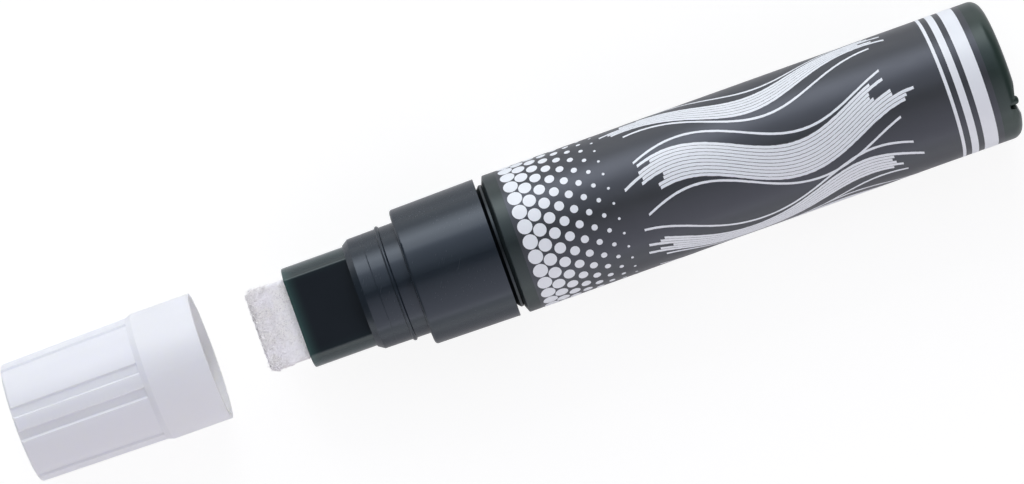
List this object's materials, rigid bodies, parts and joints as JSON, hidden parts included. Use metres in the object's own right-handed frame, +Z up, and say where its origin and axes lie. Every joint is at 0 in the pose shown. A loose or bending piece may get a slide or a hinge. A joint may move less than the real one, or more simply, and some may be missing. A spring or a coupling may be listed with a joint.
{
  "type": "liquid chalk marker",
  "caption": "Wide-nib liquid chalk marker lying on its side, with a closed barrel, stepped nose, flat felt nib on a spring valve, and a fluted pull-off cap.",
  "frame": {"origin": "on the surface the barrel lies on, under the middle of the whole length with the cap lying pulled off", "axes": "+X along the marker from the nib to the closed tail, +Z up, with the nib's broad side facing up"},
  "size_m": [0.186, 0.0258, 0.0258],
  "materials": {
    "barrel_plastic": "moulded polypropylene, green-black, satin",
    "nose_plastic": "moulded polypropylene, blue-black, satin",
    "holder_plastic": "moulded polypropylene, green-black, polished",
    "label_film": "printed polypropylene film",
    "gasket_rubber": "moulded rubber",
    "nib_felt": "pressed fibre felt",
    "cap_plastic": "moulded polypropylene, white, slightly translucent",
    "valve_plastic": "moulded polyethylene, natural",
    "spring_steel": "drawn stainless wire",
    "ball_steel": "ground stainless ball"
  },
  "bodies": {
    "pen_body": {"barrel": "barrel_plastic", "label": "label_film", "barrel_gasket": "gasket_rubber", "nose": "nose_plastic", "nib_holder": "holder_plastic", "valve_seat": "valve_plastic", "valve_cage": "valve_plastic", "valve_spring": "spring_steel"},
    "cap": {"cap": "cap_plastic"},
    "nib": {"nib": "nib_felt"},
    "valve_rod": {"valve_stem": "valve_plastic", "valve_seal": "gasket_rubber"},
    "ball": {"mixing_ball": "ball_steel"}
  },
  "joints": [
    {"name": "cap_pull", "type": "slide", "parent": "pen_body", "child": "cap", "axis": [0.9993, 0.0259, 0.0279], "range_m": [0, 0.03863]},
    {"name": "nib_press", "type": "slide", "parent": "pen_body", "child": "nib", "axis": [1, 0, 0], "range_m": [0, 0.0025], "stiffness_N_per_m": 700, "springref_m": -0.003},
    {"name": "valve_lift", "type": "slide", "parent": "pen_body", "child": "valve_rod", "axis": [1, 0, 0], "range_m": [0, 0.0025], "deforming": ["valve_spring"]},
    {"name": "ball_roll", "type": "slide", "parent": "pen_body", "child": "ball", "axis": [1, 0, 0], "range_m": [-0.0467, 0.0097]}
  ],
  "couplings": [
    {"joint": "valve_lift", "follows": "nib_press", "ratio": 1}
  ]
}
